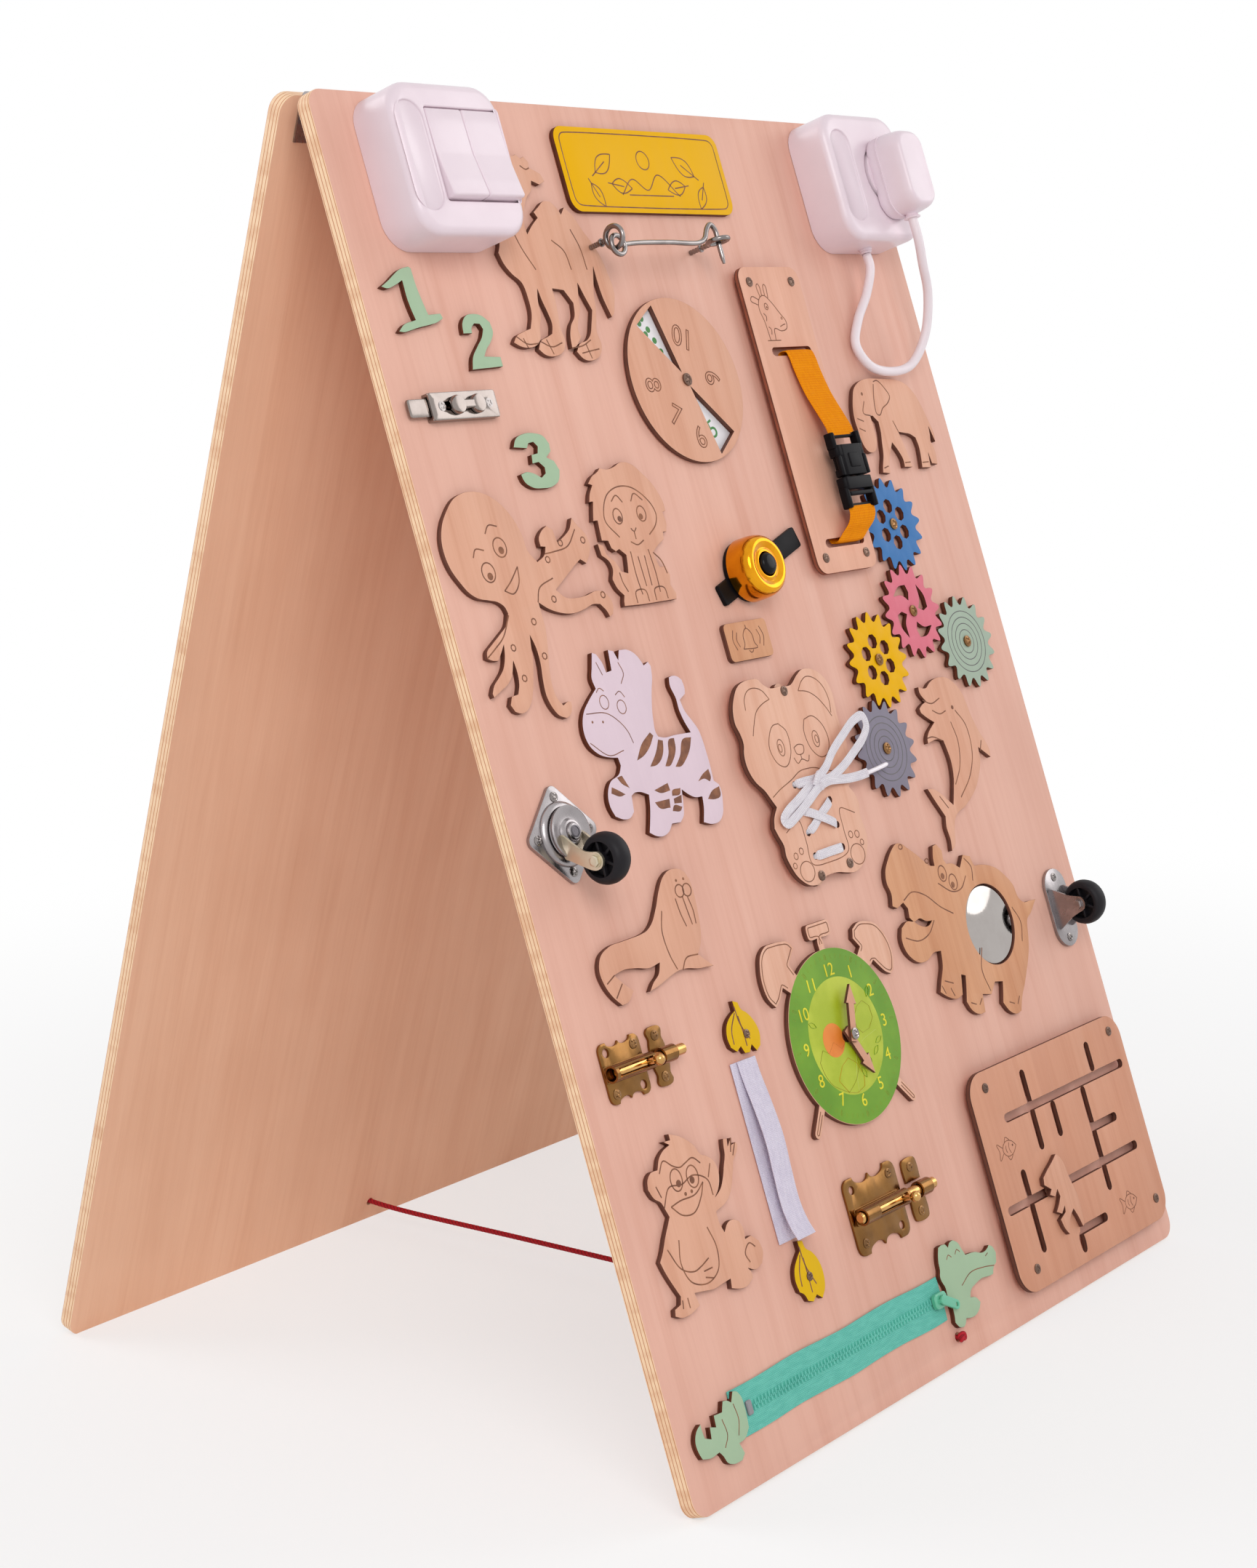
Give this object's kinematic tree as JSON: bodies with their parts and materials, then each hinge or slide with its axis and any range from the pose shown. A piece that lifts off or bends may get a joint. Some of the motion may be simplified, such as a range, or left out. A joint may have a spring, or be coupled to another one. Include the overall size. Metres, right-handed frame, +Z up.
{
  "type": "busy board",
  "caption": "Freestanding folding plywood activity board for toddlers, with latches, wheels, gears, a clock, a maze, a zipper, a plug and animal plates.",
  "frame": {"origin": "on the floor, under the middle of the standing tent", "axes": "+X to the viewer's right along the front panel, +Y from the front panel to the rear panel, +Z up"},
  "size_m": [0.49, 0.48, 0.7048],
  "materials": {
    "birch_panel": "clear satin varnish, pale birch plywood",
    "dark_panel": "clear satin varnish, darker plywood",
    "cut_plywood": "laser cut plywood with burnt edges",
    "white_wood": "painted pale lilac white",
    "yellow_wood": "painted yellow, satin",
    "blue_wood": "painted blue, satin",
    "pink_wood": "painted pink, satin",
    "grey_green_wood": "painted grey green, satin",
    "grey_wood": "painted grey violet, satin",
    "white_plastic": "glossy moulded plastic",
    "white_rubber": "smooth flexible cord sheath",
    "black_plastic": "matte moulded plastic",
    "orange_webbing": "woven polypropylene webbing",
    "white_tape": "woven tape",
    "teal_tape": "woven zipper tape",
    "red_string": "twisted string",
    "steel": "bright wire",
    "zinc": "zinc plated sheet steel",
    "yellow_zinc": "yellow passivated sheet steel",
    "brass": "polished",
    "black_rubber": "solid wheel rubber",
    "green_plastic": "glossy moulded plastic",
    "mirror": "acrylic mirror sheet"
  },
  "bodies": {
    "board": {"front_panel": "birch_panel", "switch_housing": "white_plastic", "socket_housing": "white_plastic", "plug_cord": "white_rubber", "sign_board": "yellow_wood", "left_hook_eye": "steel", "right_hook_eye": "steel", "strap_board": "cut_plywood", "buckle_strap": "orange_webbing", "buckle_socket": "black_plastic", "latch_case": "zinc", "camel": "cut_plywood", "elephant": "cut_plywood", "octopus": "cut_plywood", "lion": "cut_plywood", "zebra": "white_wood", "walrus": "cut_plywood", "monkey": "cut_plywood", "dolphin": "cut_plywood", "hippo": "cut_plywood", "mirror": "mirror", "bell_base": "black_plastic", "bell_dome": "brass", "panda_board": "cut_plywood", "lace": "white_tape", "swivel_plate": "zinc", "fixed_fork": "zinc", "small_bolt_plate": "brass", "big_bolt_plate": "brass", "big_bolt_keeper": "brass", "velcro_strap": "white_tape", "clock_body": "cut_plywood", "maze_board": "cut_plywood", "zip_tape": "teal_tape", "hinge_front_leaf": "zinc", "limit_string": "red_string"},
    "rear": {"rear_panel": "dark_panel", "hinge_rear_leaf": "zinc"},
    "left_rocker": {"left_rocker": "white_plastic"},
    "right_rocker": {"right_rocker": "white_plastic"},
    "plug": {"plug": "white_plastic"},
    "hook": {"hook": "steel"},
    "spinner": {"spinner_disc": "cut_plywood"},
    "buckle_tongue": {"buckle_tongue": "black_plastic"},
    "latch_bolt": {"latch_bolt": "zinc"},
    "blue_gear": {"blue_gear": "blue_wood"},
    "pink_gear": {"pink_gear": "pink_wood"},
    "yellow_gear": {"yellow_gear": "yellow_wood"},
    "green_gear": {"green_gear": "grey_green_wood"},
    "grey_gear": {"grey_gear": "grey_wood"},
    "bell_button": {"bell_button": "black_plastic"},
    "caster_fork": {"swivel_fork": "yellow_zinc"},
    "caster_wheel": {"swivel_wheel": "black_rubber"},
    "fixed_wheel": {"fixed_wheel": "black_rubber"},
    "small_bolt": {"small_bolt": "brass"},
    "big_bolt": {"big_bolt": "brass"},
    "hour_hand": {"hour_hand": "cut_plywood"},
    "minute_hand": {"minute_hand": "cut_plywood"},
    "maze_slider": {"maze_slider": "cut_plywood"},
    "zip_slider": {"zip_slider": "green_plastic"}
  },
  "joints": [
    {"name": "panel_fold", "type": "hinge", "parent": "board", "child": "rear", "pos_m": [0, 0, 0.69687], "axis": [-1, 0, 0], "range_deg": [0, 35], "deforming": ["limit_string"]},
    {"name": "left_rocker_tilt", "type": "hinge", "parent": "board", "child": "left_rocker", "pos_m": [-0.18131, -0.0481, 0.66716], "axis": [1, 0, 0], "range_deg": [0, 11.4]},
    {"name": "right_rocker_tilt", "type": "hinge", "parent": "board", "child": "right_rocker", "pos_m": [-0.15429, -0.0481, 0.66716], "axis": [1, 0, 0], "range_deg": [0, 11.4]},
    {"name": "plug_pull", "type": "slide", "parent": "board", "child": "plug", "axis": [0, -0.9519, 0.3065], "range_m": [0, 0.02], "deforming": ["plug_cord"]},
    {"name": "hook_swing", "type": "hinge", "parent": "board", "child": "hook", "pos_m": [-0.064, -0.05966, 0.62178], "axis": [0, -0.9519, 0.3065], "range_deg": [0, 60]},
    {"name": "spinner_turn", "type": "hinge", "parent": "board", "child": "spinner", "pos_m": [-0.0126, -0.06197, 0.54741], "axis": [0, -0.9519, 0.3065], "continuous": true},
    {"name": "buckle_release", "type": "slide", "parent": "board", "child": "buckle_tongue", "axis": [0, -0.3065, -0.9519], "range_m": [0, 0.012], "deforming": ["buckle_strap"]},
    {"name": "latch_slide", "type": "slide", "parent": "board", "child": "latch_bolt", "axis": [1, 0, 0], "range_m": [-0.005, 0.0015]},
    {"name": "pink_gear_turn", "type": "hinge", "parent": "board", "child": "pink_gear", "pos_m": [0.144, -0.10865, 0.40245], "axis": [0, -0.9519, 0.3065], "continuous": true},
    {"name": "blue_gear_turn", "type": "hinge", "parent": "board", "child": "blue_gear", "pos_m": [0.14878, -0.09192, 0.45442], "axis": [0, -0.9519, 0.3065], "continuous": true},
    {"name": "yellow_gear_turn", "type": "hinge", "parent": "board", "child": "yellow_gear", "pos_m": [0.09517, -0.11628, 0.37877], "axis": [0, -0.9519, 0.3065], "continuous": true},
    {"name": "green_gear_turn", "type": "hinge", "parent": "board", "child": "green_gear", "pos_m": [0.19283, -0.11628, 0.37877], "axis": [0, -0.9519, 0.3065], "continuous": true},
    {"name": "grey_gear_turn", "type": "hinge", "parent": "board", "child": "grey_gear", "pos_m": [0.07851, -0.13228, 0.32908], "axis": [0, -0.9519, 0.3065], "continuous": true},
    {"name": "bell_press", "type": "slide", "parent": "board", "child": "bell_button", "axis": [0, 0.9519, -0.3065], "range_m": [0, 0.0024], "stiffness_N_per_m": 300},
    {"name": "caster_swivel", "type": "hinge", "parent": "board", "child": "caster_fork", "pos_m": [-0.2095, -0.13809, 0.32963], "axis": [0, -0.9519, 0.3065], "continuous": true},
    {"name": "caster_roll", "type": "hinge", "parent": "caster_fork", "child": "caster_wheel", "pos_m": [-0.2095, -0.16164, 0.31915], "axis": [1, 0, 0], "continuous": true},
    {"name": "fixed_roll", "type": "hinge", "parent": "board", "child": "fixed_wheel", "pos_m": [0.218, -0.18856, 0.21695], "axis": [1, 0, 0], "continuous": true},
    {"name": "small_bolt_slide", "type": "slide", "parent": "board", "child": "small_bolt", "axis": [-1, 0, 0], "range_m": [0, 0.0205]},
    {"name": "big_bolt_slide", "type": "slide", "parent": "board", "child": "big_bolt", "axis": [-1, 0, 0], "range_m": [0, 0.0195]},
    {"name": "hour_hand_turn", "type": "hinge", "parent": "board", "child": "hour_hand", "pos_m": [-0.0316, -0.18161, 0.18926], "axis": [0, -0.9519, 0.3065], "continuous": true},
    {"name": "minute_hand_turn", "type": "hinge", "parent": "board", "child": "minute_hand", "pos_m": [-0.0316, -0.1839, 0.18999], "axis": [0, -0.9519, 0.3065], "continuous": true},
    {"name": "maze_slide", "type": "slide", "parent": "board", "child": "maze_slider", "axis": [1, 0, 0], "range_m": [-0.045, 0.092]},
    {"name": "zip_slide", "type": "slide", "parent": "board", "child": "zip_slider", "axis": [-1, 0, 0], "range_m": [0, 0.16]}
  ],
  "couplings": [
    {"joint": "blue_gear_turn", "follows": "pink_gear_turn", "ratio": -1},
    {"joint": "yellow_gear_turn", "follows": "pink_gear_turn", "ratio": -1},
    {"joint": "green_gear_turn", "follows": "pink_gear_turn", "ratio": -1},
    {"joint": "grey_gear_turn", "follows": "pink_gear_turn", "ratio": 1}
  ]
}
